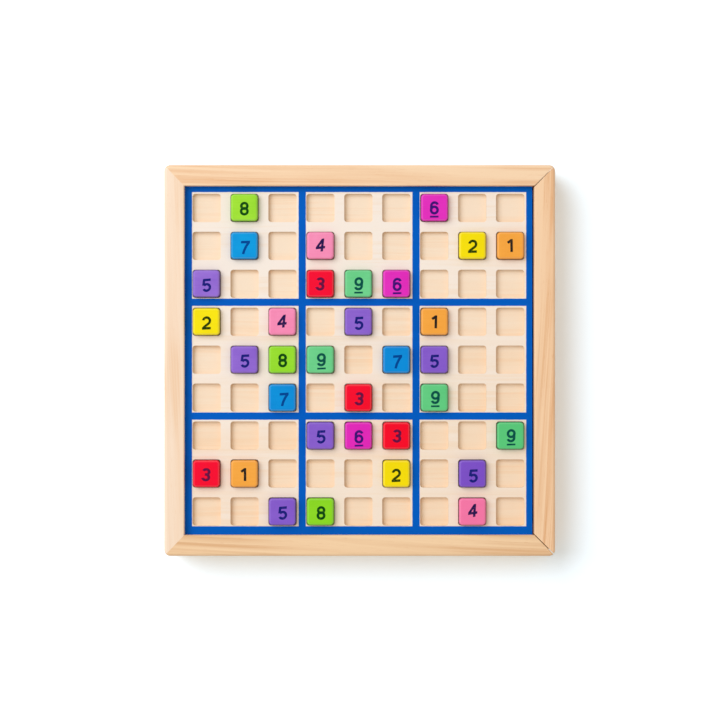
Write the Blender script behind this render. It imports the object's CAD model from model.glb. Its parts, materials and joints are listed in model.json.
"""Dresses a wooden sudoku board for a studio picture: wood, printed lines, painted tiles and numbers."""
import json
import math
import random
from collections import namedtuple

import bmesh
import bpy
from bpy.props import FloatProperty, FloatVectorProperty, IntProperty, PointerProperty
from mathutils import Matrix, Vector


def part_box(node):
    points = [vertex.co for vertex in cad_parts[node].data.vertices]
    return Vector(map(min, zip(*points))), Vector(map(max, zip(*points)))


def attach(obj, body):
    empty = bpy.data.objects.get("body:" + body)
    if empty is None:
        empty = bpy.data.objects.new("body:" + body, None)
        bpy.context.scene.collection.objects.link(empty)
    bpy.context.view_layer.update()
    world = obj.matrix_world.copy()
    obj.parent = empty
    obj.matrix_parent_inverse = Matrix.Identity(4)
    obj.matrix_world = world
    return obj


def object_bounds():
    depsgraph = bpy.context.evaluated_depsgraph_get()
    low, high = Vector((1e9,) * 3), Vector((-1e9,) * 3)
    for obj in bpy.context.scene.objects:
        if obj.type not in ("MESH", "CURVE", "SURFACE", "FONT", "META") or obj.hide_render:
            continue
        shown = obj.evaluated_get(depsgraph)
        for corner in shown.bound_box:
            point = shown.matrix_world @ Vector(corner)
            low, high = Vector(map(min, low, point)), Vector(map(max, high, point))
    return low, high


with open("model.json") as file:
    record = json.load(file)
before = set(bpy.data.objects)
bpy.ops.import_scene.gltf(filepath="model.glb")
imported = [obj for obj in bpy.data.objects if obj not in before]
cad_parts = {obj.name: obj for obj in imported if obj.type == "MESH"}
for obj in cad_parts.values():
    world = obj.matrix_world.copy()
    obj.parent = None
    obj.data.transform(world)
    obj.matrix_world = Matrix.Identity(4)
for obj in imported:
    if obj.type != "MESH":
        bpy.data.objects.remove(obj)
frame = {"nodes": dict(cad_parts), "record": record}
CAD_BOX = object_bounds()

bl_info = {
    "name": "Sudoku Board",
    "version": (1, 0, 0),
    "blender": (4, 5, 0),
    "location": "View3D > Sidebar > Sudoku",
    "description": "Wood, print, paint, numbers and studio of a wooden sudoku board",
    "category": "Object",
}

MM = 0.001

# How a surface takes the light: its gloss, how rough it is, how far the roughness varies, and its relief
Finish = namedtuple("Finish", "gloss roughness spread relief")
WAXED_WOOD = Finish(gloss=0.35, roughness=0.38, spread=0.14, relief=0.06 * MM)
SANDED_PLY = Finish(gloss=0.25, roughness=0.5, spread=0.12, relief=0.05 * MM)
PRINTED_WOOD = Finish(gloss=0.04, roughness=0.55, spread=-0.12, relief=0.05 * MM)
SATIN_PAINT = Finish(gloss=0.09, roughness=0.3, spread=0.14, relief=0.04 * MM)
DRY_INK = Finish(gloss=0.04, roughness=0.5, spread=0.1, relief=0.01 * MM)

# Marks of the grain: how many go into a metre along it and across it, the detail of their noise, and the
# levels of the noise between which they fade in, where they do
GRAIN_MARKS = {
    "sway": (5, 26, 1, None),
    "clear": (11, 75, 1, (0.38, 0.66)),
    "figure": (4, 110, 3, None),
    "streaks": (7, 460, 2, None),
    "fibres": (45, 1500, 2, None),
    "flecks": (190, 2400, 1, (0.66, 0.74)),
    "lines": (6, 620, 1, (0.56, 0.7)),
}
SWAY_REACH = 12 * MM
# How far a seed moves a pattern along each axis
SEED_SHARES = (1, 0.31, 0.17)
# Growth rings: how they are stretched along the grain, and how they waver
RING_STRETCH = (0.02, 1, 0.7)
RING_WAVER = {"Distortion": 3.0, "Detail": 2.0, "Detail Scale": 0.6}
# How much each mark darkens the wood, and the level of its noise that does nothing. Rings, lines and streaks
# are stronger where the grain is clear than where it is plain.
RING_WEIGHT, LINE_WEIGHT, FLECK_WEIGHT = 0.5, 0.45, 0.3
FIGURE_WEIGHT, FIGURE_LEVEL = 1.7, 0.45
PLAIN_STREAK_WEIGHT, CLEAR_STREAK_WEIGHT, STREAK_LEVEL = 0.5, 1.2, 0.47
FIBRE_WEIGHT, FIBRE_LEVEL = 0.4, 0.5
# A wave texture of scale 1 goes through 20 radians in a metre
WAVE_SCALE = math.tau / 20

# Where the grain ends: how far the surface looks along it, how dark it is, how much that shows, and how deep
END_LOOK = (0.3, 0.8)
END_DARK, END_SHARE, END_SINK = 0.6, 0.8, 0.6
# Layers of plywood: where the surface looks up enough to hide them, how they fade and waver, and how dark
PLY_FACE_LOOK = (0.3, 0.7)
LAYER_FADE = (0.4, 0.6)
LAYER_WAVER = {"Distortion": 0.6, "Detail Scale": 0.1}
LAYER_DARK = 0.62

# Tones deepen across the board over this distance: how strongly, which share of that goes to the right and
# not down the page, and how far the tone is lifted
TONE_REACH = 140 * MM
BOARD_GRAIN = 0.7
PANEL_DEPTH, PANEL_RIGHT, PANEL_LIFT = 0.5, 0.2, 0.18
SHEET_DEPTH, SHEET_RIGHT, SHEET_LIFT = 0.7, 0.28, 0.15
SHEET_SEED, SHEET_RING_SHARE = 2.7, 1.7
SHEET_TOP_LOOK = (0.5, 0.9)
# Printed lines: marks per metre of their wandering edge, how the grain shows, and how the ink fills it
LINE_WANDER = (420, 420, 420)
GHOST_GRAIN, GHOST_FIBRES, GHOST_LEVEL, GHOST_DARK = 0.35, 0.3, 0.3, 0.86
INK_FILL = 0.6

# Marks of the paint per metre, how unevenly it lies, and the powers that make its thin and deep tones
PAINT_PORES, PAINT_CLOUDS, PAINT_PEEL = (110, 1300, 1300), (90, 90, 90), (1600, 1600, 1600)
PORE_WEIGHT, PORE_LEVEL, CLOUD_WEIGHT, CLOUD_LEVEL = 0.5, 0.35, 0.9, 0.4
UNEVEN_DARK = 0.9
THIN_POWER, DEEP_POWER, PAINT_RIGHT = 0.84, 1.2, 0.5
# A tile's rounded rim is worn pale and its sides are dark, by how far up or down the surface looks
RIM_LOOK, TOP_LOOK, SIDE_LOOK = (0.5, 0.8), (0.93, 0.99), (0.1, 0.6)
RIM_WHITE, RIM_SHARE, SIDE_DARK, SIDE_SHARE = 0.3, 0.18, 0.5, 0.8
PORE_RELIEF, PEEL_RELIEF = 0.6, 0.4
PAINT_SEED_STEP = 0.7
INK_MOTTLE, INK_MOTTLE_FADE, INK_MOTTLE_SHARE = (900, 900, 900), (0.45, 0.8), 0.12

# Steel of the brads, bright and dull, with its scratches per metre
STEEL_BRIGHT, STEEL_DULL = (0.55, 0.55, 0.56), (0.4, 0.4, 0.41)
STEEL_SCRATCHES, STEEL_ROUGHNESS, STEEL_SPREAD = (3000, 400, 3000), 0.3, 0.2

# The floor: the level that is plain white for sure, after how many reaches of the shade it comes, how far
# inside the case's outline the floor starts to let light through, and how soft the edge at a joint is
PLAIN_WHITE, WHITE_REACHES = 1.2, 4
UNDER_INSETS = (0.3 * MM, 0.6 * MM)
JOINT_EDGE = 0.1 * MM

# The wood of each rail, the turn of its grain from X in degrees, and its seed
RAIL_WOODS = {
    "left_rail": ("left", 92, 1.3),
    "far_rail": ("far", -1.5, 4.1),
    "near_rail": ("near", -2.5, 6.2),
    "drawer_front": ("drawer", 87.5, 8.7),
}
# The plywood of each panel, its seed, and its rings in terms of a rail's
PANEL_PLIES = {
    "backing_panel": ("backing_ply", 9.9, 1),
    "base_panel": ("base_ply", 12.4, 2),
    "drawer_bottom": ("drawer_bottom_ply", 14.8, 2),
}
DRAWER_SIDE_SEED, DRAWER_BACK_SEED = 16.5, 18.1

# The paint of each number, as the record names it
PAINT_SLOTS = {
    1: "orange_paint",
    2: "yellow_paint",
    3: "red_paint",
    4: "pink_paint",
    5: "purple_paint",
    6: "magenta_paint",
    7: "blue_paint",
    8: "lime_paint",
    9: "green_paint",
}
NUMBER_OF_SLOT = {slot: number for number, slot in PAINT_SLOTS.items()}
SLOT_OF_NODE = {part["node"]: part["material_slot"] for part in frame["record"]["subparts"]}
BOARD_TILES = sorted(node for node in SLOT_OF_NODE if node.startswith("tile_"))

# The strokes of each number, in shares of its height: start, heading in degrees, and the pen's moves.
# A move of one value goes straight on, and one of two values turns on a radius by degrees, left if positive.
NUMBER_STROKE_SHARES = {
    1: (
        (0.06, -0.5, 90, ((1.0,),)),
        (-0.235, 0.215, 35, ((0.33,),)),
    ),
    2: (
        (-0.256, 0.21, 78, ((0.262, -220), (0.5,))),
        (-0.34, -0.4175, 0, ((0.68,),)),
    ),
    3: (
        (-0.198, 0.286, 70, ((0.2, -250), (0.08,))),
        (-0.09, 0.0175, 0, ((0.08,), (0.2175, -255))),
    ),
    4: (
        (0.13, -0.5, 90, ((1.0,),)),
        (-0.36, -0.19, 0, ((0.72,),)),
        (-0.3, -0.19, 56.3, ((0.757,),)),
    ),
    5: (
        (-0.27, 0.4175, 0, ((0.57,),)),
        (-0.205, 0.49, 264, ((0.5,),)),
        (-0.212, -0.02, 55, ((0.2525, -300),)),
    ),
    6: (
        (0.2525, -0.165, 90, ((0.2525, 360),)),
        (0.257, 0.251, 110, ((0.2525, 160), (0.33,))),
    ),
    7: (
        (-0.345, 0.4175, 0, ((0.69,),)),
        (0.27, 0.4, 232, ((2.05, 28),)),
    ),
    8: (
        (0.22, 0.215, 90, ((0.22, 360),)),
        (0.235, -0.2, 90, ((0.235, 360),)),
    ),
}
# Numbers that are wider than drawn
WIDE_SHARES = {3: 1.12, 8: 1.05}
UNDERLINED = (6, 9)
UNDERLINE_SHARES = (-0.33, -0.68, 0, ((0.66,),))
UNDERLINE_STROKE_SHARE = 0.14
ARC_STEP = math.radians(9)
FEWEST_ARC_STEPS = 3
# Joining the strokes of a number leaves faces thinner than this, which are dissolved
SLIVER_W = 0.001 * MM

# How each number's stamp sits on its tile: right and up in millimetres, and in degrees how far its bars rise
# to the right and its stems lean to the right
STAMP_PLACES = {
    1: (0.3, -0.1, 0, 0.5),
    2: (0.1, -0.7, 2.5, 1),
    3: (0.3, -0.5, -4, 5),
    4: (0.3, 0.5, 7, 5),
    5: (0.3, -1.0, 3, 2.5),
    6: (0.2, -0.3, 1, 0),
    7: (0.9, -1.2, 3, 2),
    8: (0.2, -0.5, 0, 1),
    9: (0.5, 0.1, 1, 1),
}


def srgb(red, green, blue):
    """A colour as a screen shows it, from 0 to 255, as linear light."""
    def linear(level):
        share = level / 255
        return share / 12.92 if share <= 0.04045 else ((share + 0.055) / 1.055) ** 2.4
    return tuple(linear(level) for level in (red, green, blue))


def colour(name, description, shown):
    """A colour that a user can change."""
    return FloatVectorProperty(
        name=name, description=description, subtype="COLOR", size=3, min=0, max=1, default=srgb(*shown))


def length(name, description, metres):
    """A length that a user can change."""
    return FloatProperty(
        name=name, description=description, default=metres, min=0, unit="LENGTH", precision=5)


class SudokuWood(bpy.types.PropertyGroup):
    """Woods of the rails, the board and the panels"""
    left_light: colour("Left rail", "Pale wood of the left rail", (255, 229, 203))
    left_dark: colour("Left rail grain", "Darker grain of the left rail", (247, 209, 172))
    far_light: colour("Far rail", "Pale wood of the far rail", (255, 220, 181))
    far_dark: colour("Far rail grain", "Darker grain of the far rail", (236, 181, 131))
    near_light: colour("Near rail", "Pale wood of the near rail", (252, 215, 171))
    near_dark: colour("Near rail grain", "Darker grain of the near rail", (230, 182, 134))
    drawer_light: colour("Drawer front", "Pale wood of the drawer's front", (255, 215, 173))
    drawer_dark: colour("Drawer front grain", "Darker grain of the drawer's front", (234, 178, 127))
    sheet_light: colour("Socket sheet", "Pale wood of the sheet with the sockets", (255, 242, 229))
    sheet_dark: colour("Socket sheet grain", "Darker grain of that sheet", (253, 229, 203))
    panel_light: colour("Panels", "Socket floors, base and drawer's bottom", (254, 232, 206))
    panel_dark: colour("Panel grain", "Darker grain of the panels", (251, 214, 174))
    socket_wall: colour("Socket walls", "Cut wood inside the sockets", (233, 209, 175))
    ring_pitch: length("Growth ring pitch", "Distance between two growth rings across a rail", 3.6 * MM)
    layer_t: length("Ply thickness", "Thickness of one layer of the plywood panels", 1 * MM)


class SudokuPrint(bpy.types.PropertyGroup):
    """Lines printed on the board"""
    ink: colour("Line ink", "Blue of the printed lines", (0, 96, 200))
    line_w: length("Line width", "Width of a printed line", 4.4 * MM)
    block_w: length("Block width", "Width of a block of three by three cells, from line to line", 68.55 * MM)
    shift_left: length("Shift left", "How far the print sits left of the middle of the case", 0.35 * MM)
    shift_up: length("Shift up", "How far the print sits up the page", 0.8 * MM)
    edge_w: length("Edge softness", "Width over which a printed edge fades", 0.12 * MM)
    edge_wander: length("Edge wander", "How far a printed edge wanders", 0.25 * MM)


class SudokuTiles(bpy.types.PropertyGroup):
    """Paints, inks and numbers of the tiles"""
    paint_1: colour("Orange", "Paint of the ones", (255, 176, 70))
    paint_2: colour("Yellow", "Paint of the twos", (255, 232, 2))
    paint_3: colour("Red", "Paint of the threes", (255, 2, 46))
    paint_4: colour("Pink", "Paint of the fours", (255, 140, 185))
    paint_5: colour("Purple", "Paint of the fives", (144, 100, 213))
    paint_6: colour("Magenta", "Paint of the sixes", (235, 43, 195))
    paint_7: colour("Blue", "Paint of the sevens", (0, 147, 225))
    paint_8: colour("Lime", "Paint of the eights", (152, 227, 40))
    paint_9: colour("Green", "Paint of the nines", (110, 215, 142))
    ink_1: colour("Ink on orange", "Printed number on orange", (27, 29, 30))
    ink_2: colour("Ink on yellow", "Printed number on yellow", (30, 56, 4))
    ink_3: colour("Ink on red", "Printed number on red", (98, 19, 68))
    ink_4: colour("Ink on pink", "Printed number on pink", (28, 17, 77))
    ink_5: colour("Ink on purple", "Printed number on purple", (21, 29, 120))
    ink_6: colour("Ink on magenta", "Printed number on magenta", (54, 17, 116))
    ink_7: colour("Ink on blue", "Printed number on blue", (0, 69, 146))
    ink_8: colour("Ink on lime", "Printed number on lime", (0, 69, 14))
    ink_9: colour("Ink on green", "Printed number on green", (0, 78, 70))
    number_h: length("Number height", "Height of a printed number", 7.75 * MM)
    stroke_w: length("Stroke width", "Width of a number's strokes", 1.5 * MM)
    ink_t: length("Ink thickness", "How far the ink stands on the paint", 0.02 * MM)
    wander: length("Print wander", "How far a number strays from its stamp's place", 0.35 * MM)
    tilt_wander: FloatProperty(
        name="Tilt wander", description="How far a number turns from its stamp's tilt",
        default=math.radians(1.5), min=0, subtype="ANGLE")
    loose_gap: length("Loose gap", "Gap between two loose tiles of a row", 2.2 * MM)
    seed: IntProperty(name="Seed", description="Seed of the numbers' wandering", default=7)


class SudokuStage(bpy.types.PropertyGroup):
    """Camera, floor and light"""
    camera_h: length("Camera height", "Height of the camera above the top of the case", 1.2)
    view_w: length("View width", "Width that the picture shows at the top of the case", 431.9 * MM)
    view_right: FloatProperty(
        name="View right", description="How far right of the case's middle the camera stands",
        default=0.18 * MM, unit="LENGTH", precision=5)
    view_up: FloatProperty(
        name="View up", description="How far up the page from the case's middle the camera stands",
        default=0.3 * MM, unit="LENGTH", precision=5)
    floor_w: length("Floor width", "Width of the pale floor", 12)
    floor_drop: length("Floor drop", "Gap between the floor and the case that stands on it", 0.1 * MM)
    key_size: length("Key light size", "Width of the soft light", 2.08)
    key_distance: length("Key light distance", "Distance of the soft light from the board", 2.4)
    key_azimuth: FloatProperty(
        name="Key light azimuth",
        description="Direction of the soft light, counted left from the right-hand side",
        default=math.radians(148), subtype="ANGLE")
    key_elevation: FloatProperty(
        name="Key light elevation", description="Height of the soft light above the floor",
        default=math.radians(52), subtype="ANGLE")
    key_share: FloatProperty(
        name="Key light share", description="Share of the light on the board that the soft light gives",
        default=0.46, min=0, max=1, subtype="FACTOR")
    fill_colour: colour("Fill light", "Colour of the light from all round", (255, 249, 240))
    floor_tint: colour("Floor tint", "Colour of the floor in shade", (236, 247, 255))
    floor_under: colour("Floor under the case", "Floor seen through the drawer's joints", (140, 100, 65))
    corner_r: length("Corner radius", "Radius of the case's corners, seen from above", 3.6 * MM)
    joint_w: length("Joint width", "Width of the floor that shows through the drawer's mitres", 1 * MM)
    floor_white: FloatProperty(
        name="Floor white", description="How white the floor looks in the picture", default=1.5, min=0)
    shade_reach: length("Shade reach", "Distance from the middle past which the floor turns plain white", 0.3)
    floor_bounce: FloatProperty(
        name="Floor bounce", description="Share of the light that the floor throws back",
        default=0.8, min=0, max=1)


class Socket:
    """An output of a node that takes part in sums."""

    def __init__(self, nodes, output):
        self.nodes = nodes
        self.output = output

    def math(self, operation, first, second):
        """The result of a Math node."""
        return self.nodes.add("ShaderNodeMath", {"operation": operation}, {0: first, 1: second})

    def __add__(self, other):
        return self.math("ADD", self, other)

    def __radd__(self, other):
        return self.math("ADD", other, self)

    def __sub__(self, other):
        return self.math("SUBTRACT", self, other)

    def __rsub__(self, other):
        return self.math("SUBTRACT", other, self)

    def __mul__(self, other):
        return self.math("MULTIPLY", self, other)

    def __rmul__(self, other):
        return self.math("MULTIPLY", other, self)

    def __abs__(self):
        return self.math("ABSOLUTE", self, 0)

    def largest(self, other):
        """The larger of this value and another."""
        return self.math("MAXIMUM", self, other)

    def clamped(self):
        """This value, kept from 0 to 1."""
        return self.nodes.add("ShaderNodeClamp", inputs={"Value": self})

    def step(self, start, end):
        """0 before start and 1 after end, with a smooth way between."""
        return self.nodes.add(
            "ShaderNodeMapRange", {"interpolation_type": "SMOOTHSTEP"},
            {"Value": self, "From Min": start, "From Max": end})


class Nodes:
    """A node tree and the one way to add nodes to it."""

    def __init__(self, tree):
        self.tree = tree

    def add(self, kind, settings=None, inputs=None, output=0):
        """Adds a node with its settings and the values or links of its sockets, and gives one output."""
        node = self.tree.nodes.new(kind)
        for name, value in (settings or {}).items():
            setattr(node, name, value)
        for name, value in (inputs or {}).items():
            if isinstance(value, Socket):
                self.tree.links.new(value.output, node.inputs[name])
            else:
                self.set_value(node.inputs[name], value)
        return Socket(self, node.outputs[output]) if node.outputs else node

    def set_value(self, socket, value):
        """Sets a socket that nothing is linked to."""
        if socket.type == "RGBA" and len(value) == 3:
            value = (*value, 1)
        socket.default_value = value

    def mix(self, first, second, share):
        """From the first colour to the second."""
        return self.add(
            "ShaderNodeMix", {"data_type": "RGBA", "clamp_factor": True}, {0: share, 6: first, 7: second}, 2)

    def stretched(self, vector, scale):
        """A vector times a scale for each axis."""
        return self.add("ShaderNodeVectorMath", {"operation": "MULTIPLY"}, {0: vector, 1: scale})

    def noise(self, vector, scale, detail=2.0):
        """Noise whose features are one over the scale long, along each axis."""
        return self.add("ShaderNodeTexNoise", inputs={
            "Vector": self.stretched(vector, scale), "Scale": 1.0, "Detail": detail})

    def axes(self, vector):
        """The three parts of a vector."""
        split = self.add("ShaderNodeSeparateXYZ", inputs={0: vector})
        outputs = split.output.node.outputs
        return [Socket(self, outputs[axis]) for axis in "XYZ"]


def new_material(name):
    """A new material and its nodes, of which there are none yet."""
    material = bpy.data.materials.new(name)
    material.use_nodes = True
    material.node_tree.nodes.clear()
    return material, Nodes(material.node_tree)


def show(nodes, shader):
    """Makes a shader the one that the surface shows."""
    nodes.add("ShaderNodeOutputMaterial", inputs={"Surface": shader})


def shaded(share, tone):
    """A colour with a share of its light."""
    return [share * level for level in tone]


def coated(nodes, base, finish, varying, bump):
    """Shows a wooden, painted or printed surface, whose roughness varies and whose relief is a bump."""
    normal = nodes.add("ShaderNodeBump", inputs={"Strength": 1.0, "Distance": finish.relief, "Height": bump})
    show(nodes, nodes.add("ShaderNodeBsdfPrincipled", inputs={
        "Base Color": base, "Roughness": finish.roughness + finish.spread * varying,
        "Specular IOR Level": finish.gloss, "Normal": normal}))


def surface(nodes):
    """The place on the piece and how far its surface looks up."""
    place = nodes.add("ShaderNodeTexCoord", output="Object")
    normal = nodes.add("ShaderNodeNewGeometry", output="Normal")
    return place, nodes.axes(normal)[2]


def depth_across(nodes, right_share):
    """0 at the far left of the board and 1 at the near right, for a tone that deepens across it."""
    x, y, _ = nodes.axes(nodes.add("ShaderNodeTexCoord", output="Object"))
    return (0.5 + x * (right_share / TONE_REACH) - y * ((1 - right_share) / TONE_REACH)).clamped()


def grain(nodes, turn, seed, ring_pitch):
    """How dark the wood is, its fibres, and where its grain ends, with the grain turned from X."""
    def marks(name, vector):
        lengthwise, crosswise, detail, fade = GRAIN_MARKS[name]
        noise = nodes.noise(vector, (lengthwise, crosswise, crosswise), detail)
        return noise.step(*fade) if fade else noise

    place = nodes.add("ShaderNodeTexCoord", output="Object")
    straight = nodes.add("ShaderNodeMapping", inputs={
        "Vector": place, "Location": [share * seed for share in SEED_SHARES], "Rotation": (0, 0, -turn)})
    bend = nodes.add("ShaderNodeCombineXYZ", inputs={"Y": SWAY_REACH * (marks("sway", straight) - 0.5)})
    along = nodes.add("ShaderNodeVectorMath", {"operation": "ADD"}, {0: straight, 1: bend})
    rings = nodes.add(
        "ShaderNodeTexWave", {"wave_type": "BANDS", "bands_direction": "Y", "wave_profile": "SAW"},
        {"Vector": nodes.stretched(along, RING_STRETCH), "Scale": WAVE_SCALE / ring_pitch, **RING_WAVER},
        "Fac")
    clear, figure, streaks, fibres, flecks, lines = [
        marks(name, along) for name in ("clear", "figure", "streaks", "fibres", "flecks", "lines")]
    broad = RING_WEIGHT * rings * clear + FIGURE_WEIGHT * (figure - FIGURE_LEVEL)
    streaked = (PLAIN_STREAK_WEIGHT + CLEAR_STREAK_WEIGHT * clear) * (streaks - STREAK_LEVEL)
    fine = LINE_WEIGHT * lines * clear + FIBRE_WEIGHT * (fibres - FIBRE_LEVEL) + FLECK_WEIGHT * flecks
    normal = nodes.add("ShaderNodeNewGeometry", output="Normal")
    way = nodes.add(
        "ShaderNodeVectorMath", {"operation": "DOT_PRODUCT"},
        {0: normal, 1: (math.cos(turn), math.sin(turn), 0)}, "Value")
    end = abs(way).step(*END_LOOK)
    return (broad + streaked + fine).clamped(), fibres, end


def wood(name, light, dark, turn, seed, ring_pitch):
    """Solid wood, darker where its grain ends."""
    material, nodes = new_material(name)
    darkness, fibres, end = grain(nodes, turn, seed, ring_pitch)
    base = nodes.mix(nodes.mix(light, dark, darkness), shaded(END_DARK, dark), END_SHARE * end)
    coated(nodes, base, WAXED_WOOD, fibres, fibres - END_SINK * end)
    return material


def plywood(name, light, dark, seed, ring_pitch, layer_t):
    """Plywood, whose edges show its layers."""
    material, nodes = new_material(name)
    darkness, fibres, _ = grain(nodes, 0, seed, ring_pitch)
    place, up = surface(nodes)
    layers = nodes.add(
        "ShaderNodeTexWave", {"wave_type": "BANDS", "bands_direction": "Z", "wave_profile": "SIN"},
        {"Vector": place, "Scale": WAVE_SCALE / (2 * layer_t), **LAYER_WAVER}, "Fac")
    edge_wood = nodes.mix(dark, shaded(LAYER_DARK, dark), layers.step(*LAYER_FADE))
    tone = (BOARD_GRAIN * darkness + PANEL_DEPTH * depth_across(nodes, PANEL_RIGHT) - PANEL_LIFT).clamped()
    base = nodes.mix(edge_wood, nodes.mix(light, dark, tone), abs(up).step(*PLY_FACE_LOOK))
    coated(nodes, base, SANDED_PLY, fibres, fibres)
    return material


def printed_sheet(name, woods, prints):
    """Pale wood with the blue lines printed on its top."""
    material, nodes = new_material(name)
    darkness, fibres, _ = grain(nodes, 0, SHEET_SEED, SHEET_RING_SHARE * woods.ring_pitch)
    tone = (BOARD_GRAIN * darkness + SHEET_DEPTH * depth_across(nodes, SHEET_RIGHT) - SHEET_LIFT).clamped()
    pale = nodes.mix(woods.sheet_light, woods.sheet_dark, tone)
    place, up = surface(nodes)
    top = up.step(*SHEET_TOP_LOOK)
    x, y, _ = nodes.axes(place)
    straying = prints.edge_wander * (nodes.noise(place, LINE_WANDER, 2) - 0.5)
    half_line, soft = prints.line_w / 2, prints.edge_w / 2
    marks = []
    for shift in (x + prints.shift_left, y - prints.shift_up):
        apart = abs(shift)
        to_line = abs(apart - prints.block_w / 2) + straying
        to_border = 1.5 * prints.block_w - apart + straying
        marks += [mark.step(half_line + soft, half_line - soft) for mark in (to_line, to_border)]
    printed = marks[0].largest(marks[1]).largest(marks[2]).largest(marks[3]) * top
    ghost = (GHOST_GRAIN * darkness + GHOST_FIBRES * (fibres - GHOST_LEVEL)).clamped()
    blue = nodes.mix(prints.ink, shaded(GHOST_DARK, prints.ink), ghost)
    bare = nodes.mix(woods.socket_wall, pale, top)
    coated(nodes, nodes.mix(bare, blue, printed), PRINTED_WOOD, printed, fibres * (1 - INK_FILL * printed))
    return material


def paint(name, shown, seed):
    """Satin paint over wood, whose grain shows a little in it."""
    material, nodes = new_material(name)
    place, up = surface(nodes)
    along = nodes.add("ShaderNodeMapping", inputs={"Vector": place, "Location": (seed, seed, seed)})
    pores = nodes.noise(along, PAINT_PORES, 2)
    clouds = nodes.noise(along, PAINT_CLOUDS, 2)
    peel = nodes.noise(along, PAINT_PEEL, 1)
    uneven = (PORE_WEIGHT * (pores - PORE_LEVEL) + CLOUD_WEIGHT * (clouds - CLOUD_LEVEL)).clamped()
    flat = abs(up)
    rim = flat.step(*RIM_LOOK) * (1 - flat.step(*TOP_LOOK))
    side = 1 - flat.step(*SIDE_LOOK)
    thin = [level ** THIN_POWER for level in shown]
    deep = [level ** DEEP_POWER for level in shown]
    worn = [(1 - RIM_WHITE) * level + RIM_WHITE for level in shown]
    batch = nodes.mix(thin, deep, depth_across(nodes, PAINT_RIGHT))
    body = nodes.mix(batch, shaded(UNEVEN_DARK, deep), uneven)
    edged = nodes.mix(body, worn, RIM_SHARE * rim)
    base = nodes.mix(edged, shaded(SIDE_DARK, deep), SIDE_SHARE * side)
    coated(nodes, base, SATIN_PAINT, clouds, PORE_RELIEF * pores + PEEL_RELIEF * peel)
    return material


def ink(name, shown, paint_shown):
    """Printing ink that lets a little of the paint through."""
    material, nodes = new_material(name)
    mottle = nodes.noise(nodes.add("ShaderNodeTexCoord", output="Object"), INK_MOTTLE, 2)
    base = nodes.mix(shown, paint_shown, INK_MOTTLE_SHARE * mottle.step(*INK_MOTTLE_FADE))
    coated(nodes, base, DRY_INK, mottle, mottle)
    return material


def steel(name):
    """Bright steel with drawn scratches."""
    material, nodes = new_material(name)
    scratches = nodes.noise(nodes.add("ShaderNodeTexCoord", output="Object"), STEEL_SCRATCHES, 2)
    show(nodes, nodes.add("ShaderNodeBsdfPrincipled", inputs={
        "Base Color": nodes.mix(STEEL_BRIGHT, STEEL_DULL, scratches), "Metallic": 1.0,
        "Roughness": STEEL_ROUGHNESS + STEEL_SPREAD * scratches}))
    return material


def dress(node, material):
    """Gives a node of the frame its material."""
    materials = frame["nodes"][node].data.materials
    materials.clear()
    materials.append(material)


def dress_panel(node, woods):
    """Gives a panel of the frame its plywood."""
    name, seed, ring_share = PANEL_PLIES[node]
    dress(node, plywood(
        name, woods.panel_light, woods.panel_dark, seed, ring_share * woods.ring_pitch, woods.layer_t))


def stroke(bm, width, share, start_x, start_y, heading, moves):
    """Adds a flat stroke of even width, drawn by a pen that goes straight and turns."""
    place = Vector((start_x, start_y, 0)) * share
    angle = math.radians(heading)
    across = Vector((-math.sin(angle), math.cos(angle), 0))
    ends = [bm.verts.new(place + side * across * width / 2) for side in (1, -1)]
    edge = bm.edges.new(ends)
    for move in moves:
        if len(move) == 1:
            way = Vector((math.cos(angle), math.sin(angle), 0)) * move[0] * share
            made = bmesh.ops.extrude_edge_only(bm, edges=[edge])["geom"]
            ends = [part for part in made if isinstance(part, bmesh.types.BMVert)]
            bmesh.ops.translate(bm, verts=ends, vec=way)
            place = place + way
            edge = bm.edges.get(ends)
            continue
        radius, turn = move[0] * share, math.radians(move[1])
        across = Vector((-math.sin(angle), math.cos(angle), 0))
        centre = place + across * math.copysign(radius, turn)
        steps = max(FEWEST_ARC_STEPS, round(abs(turn) / ARC_STEP))
        made = bmesh.ops.spin(
            bm, geom=[*edge.verts, edge], cent=centre, axis=(0, 0, 1), angle=turn, steps=steps,
            use_merge=abs(move[1]) == 360)["geom_last"]
        place = centre + Matrix.Rotation(turn, 3, "Z") @ (place - centre)
        angle += turn
        edge = next((part for part in made if isinstance(part, bmesh.types.BMEdge)), None)


def stroke_piece(width, share, thickness, path):
    """A stroke as a thin closed solid in an object of its own."""
    bm = bmesh.new()
    stroke(bm, width, share, *path)
    raised = bmesh.ops.extrude_face_region(bm, geom=bm.faces[:])["geom"]
    bmesh.ops.translate(
        bm, verts=[part for part in raised if isinstance(part, bmesh.types.BMVert)], vec=(0, 0, thickness))
    bmesh.ops.recalc_face_normals(bm, faces=bm.faces[:])
    mesh = bpy.data.meshes.new("stroke")
    bm.to_mesh(mesh)
    bm.free()
    piece = bpy.data.objects.new("stroke", mesh)
    bpy.context.scene.collection.objects.link(piece)
    return piece


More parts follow.
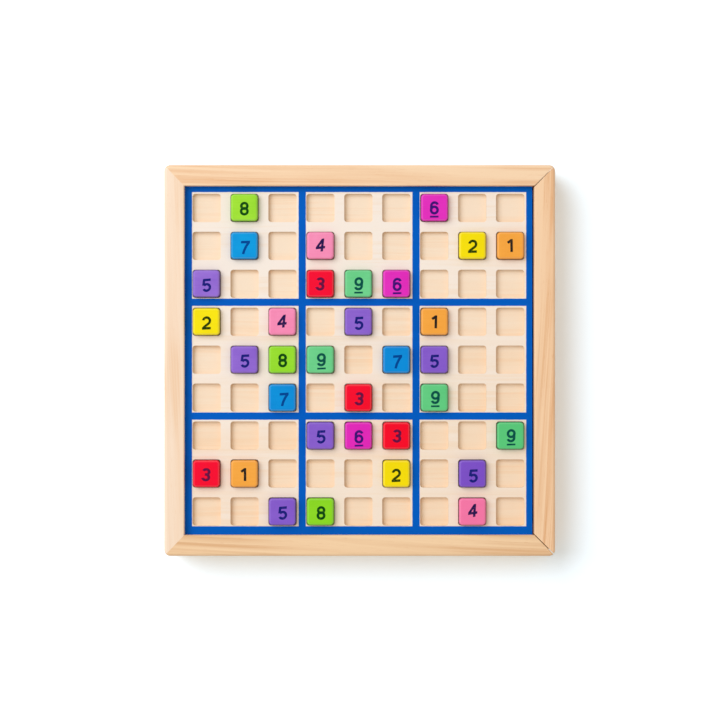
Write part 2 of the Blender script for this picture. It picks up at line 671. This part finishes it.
def number_mesh(number, tiles):
    """A number lying on the origin, with its strokes joined into one solid."""
    turned = number == 9
    strokes = NUMBER_STROKE_SHARES[6 if turned else number]
    pieces = [stroke_piece(tiles.stroke_w, tiles.number_h, tiles.ink_t, path) for path in strokes]
    whole = pieces[0]
    for other in pieces[1:]:
        join = whole.modifiers.new("join", "BOOLEAN")
        join.operation = "UNION"
        join.solver = "EXACT"
        join.object = other
    bpy.context.view_layer.update()
    evaluated = whole.evaluated_get(bpy.context.evaluated_depsgraph_get())
    bm = bmesh.new()
    bm.from_mesh(evaluated.to_mesh())
    evaluated.to_mesh_clear()
    bmesh.ops.triangulate(bm, faces=bm.faces[:])
    bmesh.ops.dissolve_degenerate(bm, dist=SLIVER_W, edges=bm.edges[:])
    for piece in pieces:
        bpy.data.meshes.remove(piece.data)
    if turned:
        bmesh.ops.rotate(bm, verts=bm.verts[:], matrix=Matrix.Rotation(math.pi, 3, "Z"))
    bmesh.ops.scale(bm, verts=bm.verts[:], vec=(WIDE_SHARES.get(number, 1), 1, 1))
    if number in UNDERLINED:
        bar_w = UNDERLINE_STROKE_SHARE * tiles.number_h
        bar = stroke_piece(bar_w, tiles.number_h, tiles.ink_t, UNDERLINE_SHARES)
        bm.from_mesh(bar.data)
        bpy.data.meshes.remove(bar.data)
    mesh = bpy.data.meshes.new("number")
    bm.to_mesh(mesh)
    bm.free()
    return mesh


def stamp_number(bm, mesh, number, middle, tiles, chance):
    """Adds a number's mesh on a tile whose top's middle is given, a little off its stamp's place."""
    right, up, rise, lean = STAMP_PLACES[number]
    stray = [chance.uniform(-tiles.wander, tiles.wander) for _ in "xy"]
    turn = chance.uniform(-tiles.tilt_wander, tiles.tilt_wander)
    bar, stem = math.radians(rise) + turn, math.radians(lean) - turn
    slant = Matrix((
        (math.cos(bar), math.sin(stem), 0, 0),
        (math.sin(bar), math.cos(stem), 0, 0),
        (0, 0, 1, 0),
        (0, 0, 0, 1),
    ))
    place = middle + Vector((right * MM + stray[0], up * MM + stray[1], 0))
    start = len(bm.verts)
    bm.from_mesh(mesh)
    bm.verts.ensure_lookup_table()
    bmesh.ops.transform(bm, verts=bm.verts[start:], matrix=Matrix.Translation(place) @ slant)


def number_piece(name, bm, material, body):
    """A piece made of printed numbers, which rides on a body."""
    mesh = bpy.data.meshes.new(name)
    bm.to_mesh(mesh)
    bm.free()
    mesh.materials.append(material)
    piece = bpy.data.objects.new(name, mesh)
    bpy.context.scene.collection.objects.link(piece)
    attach(piece, body)


def top_middle(low, high):
    """The middle of the top of a tile, from its box."""
    return Vector(((low.x + high.x) / 2, (low.y + high.y) / 2, high.z))


def loose_tops(node, tile_w, gap):
    """The middles of the tops of a row of loose tiles."""
    low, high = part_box(node)
    pitch = tile_w + gap
    count = round((high.x - low.x + gap) / pitch)
    first = Vector((high.x - tile_w / 2, (low.y + high.y) / 2, high.z))
    return [first - Vector((place * pitch, 0, 0)) for place in range(count)]


class SUDOKU_OT_rails(bpy.types.Operator):
    """Dress the three fixed rails and the drawer's front in their own boards"""
    bl_idname = "sudoku.rails"
    bl_label = "Rails"

    def execute(self, context):
        woods = context.scene.sudoku_wood
        for node, (name, turn, seed) in RAIL_WOODS.items():
            light, dark = getattr(woods, f"{name}_light"), getattr(woods, f"{name}_dark")
            dress(node, wood(f"{node}_wood", light, dark, math.radians(turn), seed, woods.ring_pitch))
        return {"FINISHED"}


class SUDOKU_OT_board(bpy.types.Operator):
    """Dress the printed sheet with the sockets and the panel that makes their floors"""
    bl_idname = "sudoku.board"
    bl_label = "Board"

    def execute(self, context):
        woods = context.scene.sudoku_wood
        dress("grid_sheet", printed_sheet("printed_sheet", woods, context.scene.sudoku_print))
        dress_panel("backing_panel", woods)
        return {"FINISHED"}


class SUDOKU_OT_base(bpy.types.Operator):
    """Dress the base panel and its brads"""
    bl_idname = "sudoku.base"
    bl_label = "Base"

    def execute(self, context):
        dress_panel("base_panel", context.scene.sudoku_wood)
        dress("base_brads", steel("brad_steel"))
        return {"FINISHED"}


class SUDOKU_OT_drawer(bpy.types.Operator):
    """Dress the drawer's bottom, sides and back"""
    bl_idname = "sudoku.drawer"
    bl_label = "Drawer"

    def execute(self, context):
        woods = context.scene.sudoku_wood
        light, dark, pitch = woods.far_light, woods.far_dark, woods.ring_pitch
        dress_panel("drawer_bottom", woods)
        sides = wood("drawer_side_wood", light, dark, 0, DRAWER_SIDE_SEED, pitch)
        dress("drawer_side_far", sides)
        dress("drawer_side_near", sides)
        dress("drawer_back", wood("drawer_back_wood", light, dark, math.pi / 2, DRAWER_BACK_SEED, pitch))
        return {"FINISHED"}


class SUDOKU_OT_tiles(bpy.types.Operator):
    """Paint the tiles and print their numbers"""
    bl_idname = "sudoku.tiles"
    bl_label = "Tiles"

    def execute(self, context):
        tiles = context.scene.sudoku_tiles
        chance = random.Random(tiles.seed)
        low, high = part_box(BOARD_TILES[0])
        tile_w = high.x - low.x
        paints, inks, meshes = {}, {}, {}
        for number in PAINT_SLOTS:
            shown = getattr(tiles, f"paint_{number}")
            paints[number] = paint(f"paint_{number}", shown, PAINT_SEED_STEP * number)
            inks[number] = ink(f"ink_{number}", getattr(tiles, f"ink_{number}"), shown)
            meshes[number] = number_mesh(number, tiles)
        for node in BOARD_TILES:
            number = NUMBER_OF_SLOT[SLOT_OF_NODE[node]]
            dress(node, paints[number])
            bm = bmesh.new()
            stamp_number(bm, meshes[number], number, top_middle(*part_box(node)), tiles, chance)
            number_piece(node.replace("tile", "number"), bm, inks[number], node)
        for number in PAINT_SLOTS:
            node = f"loose_{number}"
            dress(node, paints[number])
            bm = bmesh.new()
            for middle in loose_tops(node, tile_w, tiles.loose_gap):
                stamp_number(bm, meshes[number], number, middle, tiles, chance)
            number_piece(f"loose_numbers_{number}", bm, inks[number], "drawer")
        return {"FINISHED"}


def camera_rays(nodes):
    """1 where the camera looks and 0 where light is thrown."""
    return nodes.add("ShaderNodeLightPath", output="Is Camera Ray")


def seen_directly(nodes):
    """1 on what the camera sees, also in a mirror or through glass, and 0 where light is only thrown on."""
    path = nodes.add("ShaderNodeLightPath").output.node.outputs
    rays = [Socket(nodes, path[name]) for name in ("Is Camera Ray", "Is Glossy Ray", "Is Transmission Ray")]
    return rays[0].largest(rays[1]).largest(rays[2])


class SUDOKU_OT_stage(bpy.types.Operator):
    """Set up the floor, the light and the camera straight above the board"""
    bl_idname = "sudoku.stage"
    bl_label = "Stage"

    def execute(self, context):
        stage = context.scene.sudoku_stage
        self.add_floor(context.scene, stage)
        self.add_world(context.scene, stage)
        self.add_key(context.scene, stage)
        self.add_camera(context.scene, stage)
        context.scene.view_settings.view_transform = "Standard"
        return {"FINISHED"}

    def add_floor(self, scene, stage):
        """A pale floor that lets light and the view through under the case, so that the base shows."""
        bm = bmesh.new()
        bmesh.ops.create_grid(bm, x_segments=1, y_segments=1, size=stage.floor_w / 2)
        bmesh.ops.translate(bm, verts=bm.verts[:], vec=(0, 0, -stage.floor_drop))
        mesh = bpy.data.meshes.new("floor")
        bm.to_mesh(mesh)
        bm.free()
        material, nodes = new_material("floor_white")
        place = nodes.add("ShaderNodeTexCoord", output="Object")
        under, in_joints = self.under_case(nodes, place, stage)
        away = nodes.add("ShaderNodeVectorMath", {"operation": "LENGTH"}, {0: place}, "Value")
        white = shaded(stage.floor_white, stage.floor_tint)
        far_white = [PLAIN_WHITE / (level * (1 - stage.key_share)) for level in stage.fill_colour]
        seen = nodes.mix(white, far_white, away.step(stage.shade_reach, WHITE_REACHES * stage.shade_reach))
        seen = nodes.mix(seen, stage.floor_under, in_joints)
        tone = nodes.mix([stage.floor_bounce] * 3, seen, seen_directly(nodes))
        white_paper = nodes.add("ShaderNodeBsdfDiffuse", inputs={"Color": tone})
        from_below = nodes.add("ShaderNodeNewGeometry", output="Backfacing")
        gap = nodes.add("ShaderNodeBsdfTransparent")
        show(nodes, nodes.add("ShaderNodeMixShader", inputs={
            0: under * from_below.largest(1 - camera_rays(nodes)), 1: white_paper, 2: gap}))
        mesh.materials.append(material)
        floor = bpy.data.objects.new("floor", mesh)
        scene.collection.objects.link(floor)

    def under_case(self, nodes, place, stage):
        """Where the floor is under the case, and where it may show there through the drawer's joints."""
        x, y, _ = nodes.axes(place)
        straight = CAD_BOX[1].x - stage.corner_r
        past = nodes.add("ShaderNodeCombineXYZ", inputs={
            "X": (abs(x) - straight).largest(0), "Y": (abs(y) - straight).largest(0)})
        out = nodes.add("ShaderNodeVectorMath", {"operation": "LENGTH"}, {0: past}, "Value")
        under = out.step(*[stage.corner_r - inset for inset in UNDER_INSETS])
        front_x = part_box("drawer_front")[0].x
        behind_front = (x - (abs(y) + stage.joint_w).largest(front_x)).step(JOINT_EDGE, 0)
        return under, under * behind_front

    def add_world(self, scene, stage):
        """Even light from all round, which looks plain white."""
        world = bpy.data.worlds.new("studio")
        world.use_nodes = True
        world.node_tree.nodes.clear()
        nodes = Nodes(world.node_tree)
        light = shaded(1 - stage.key_share, stage.fill_colour)
        tone = nodes.mix(light, (1, 1, 1), seen_directly(nodes))
        background = nodes.add("ShaderNodeBackground", inputs={"Color": tone, "Strength": 1.0})
        nodes.add("ShaderNodeOutputWorld", inputs={"Surface": background})
        scene.world = world

    def add_key(self, scene, stage):
        """A soft light from the upper left, whose colour makes the whole light white."""
        light = bpy.data.lights.new("key", "AREA")
        light.shape = "DISK"
        light.size = stage.key_size
        flat = math.cos(stage.key_elevation)
        way = Vector((flat * math.cos(stage.key_azimuth), flat * math.sin(stage.key_azimuth),
                      math.sin(stage.key_elevation)))
        fill = 1 - stage.key_share
        light.color = [(1 - fill * level) / stage.key_share for level in stage.fill_colour]
        light.energy = stage.key_share * math.pi ** 2 * stage.key_distance ** 2 / way.z
        lamp = bpy.data.objects.new("key", light)
        lamp.location = way * stage.key_distance
        lamp.rotation_euler = way.to_track_quat("Z", "Y").to_euler()
        scene.collection.objects.link(lamp)

    def add_camera(self, scene, stage):
        """A camera straight above the board."""
        data = bpy.data.cameras.new("camera")
        data.lens = data.sensor_width * stage.camera_h / stage.view_w
        data.clip_end = 2 * stage.floor_w
        camera = bpy.data.objects.new("camera", data)
        camera.location = (stage.view_right, stage.view_up, CAD_BOX[1].z + stage.camera_h)
        scene.collection.objects.link(camera)
        scene.camera = camera


class SUDOKU_PT_panel(bpy.types.Panel):
    """Pieces and settings of the sudoku board"""
    bl_idname = "SUDOKU_PT_panel"
    bl_label = "Sudoku Board"
    bl_space_type = "VIEW_3D"
    bl_region_type = "UI"
    bl_category = "Sudoku"

    def draw(self, context):
        for operator in OPERATORS:
            self.layout.operator(operator.bl_idname)
        for name in SETTINGS:
            settings = getattr(context.scene, name)
            box = self.layout.box()
            for key in settings.__annotations__:
                box.prop(settings, key)


SETTINGS = {
    "sudoku_wood": SudokuWood,
    "sudoku_print": SudokuPrint,
    "sudoku_tiles": SudokuTiles,
    "sudoku_stage": SudokuStage,
}
OPERATORS = (
    SUDOKU_OT_rails,
    SUDOKU_OT_board,
    SUDOKU_OT_base,
    SUDOKU_OT_drawer,
    SUDOKU_OT_tiles,
    SUDOKU_OT_stage,
)
CLASSES = (*SETTINGS.values(), *OPERATORS, SUDOKU_PT_panel)


def register():
    """Tells Blender of the classes and puts the settings on the scene."""
    for part in CLASSES:
        bpy.utils.register_class(part)
    for name, group in SETTINGS.items():
        setattr(bpy.types.Scene, name, PointerProperty(type=group))


def unregister():
    """Takes the settings and the classes away again."""
    for name in SETTINGS:
        delattr(bpy.types.Scene, name)
    for part in reversed(CLASSES):
        bpy.utils.unregister_class(part)


def main():
    """Dresses the board."""
    register()
    bpy.ops.sudoku.rails()
    bpy.ops.sudoku.board()
    bpy.ops.sudoku.base()
    bpy.ops.sudoku.drawer()
    bpy.ops.sudoku.tiles()
    bpy.ops.sudoku.stage()


if __name__ == "__main__":
    main()
